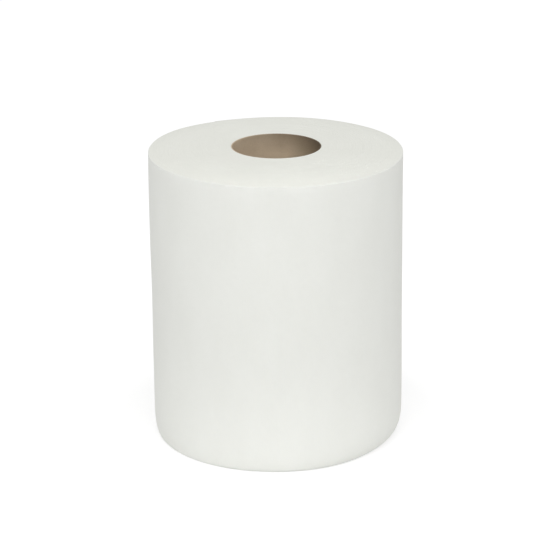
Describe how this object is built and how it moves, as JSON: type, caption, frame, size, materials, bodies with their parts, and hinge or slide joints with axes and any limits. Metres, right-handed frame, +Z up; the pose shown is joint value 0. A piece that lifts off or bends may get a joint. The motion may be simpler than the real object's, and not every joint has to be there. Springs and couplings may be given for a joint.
{
  "type": "paper towel roll",
  "caption": "Wide roll of plain paper towel wound on a hollow cardboard core, standing on its flat end. It feeds towel from a dispenser.",
  "frame": {"origin": "centre of the base, on the roll's axis, at the level that the roll stands on", "axes": "+Z up along the roll's axis, from the base to the end with the falling shoulder; -Y towards the viewer of the picture, +X to the viewer's right"},
  "size_m": [0.1914, 0.1918, 0.228],
  "materials": {
    "towel_paper": "matte",
    "core_board": "matte"
  },
  "bodies": {
    "root": {"paper_roll": "towel_paper", "core_tube": "core_board"}
  },
  "joints": []
}
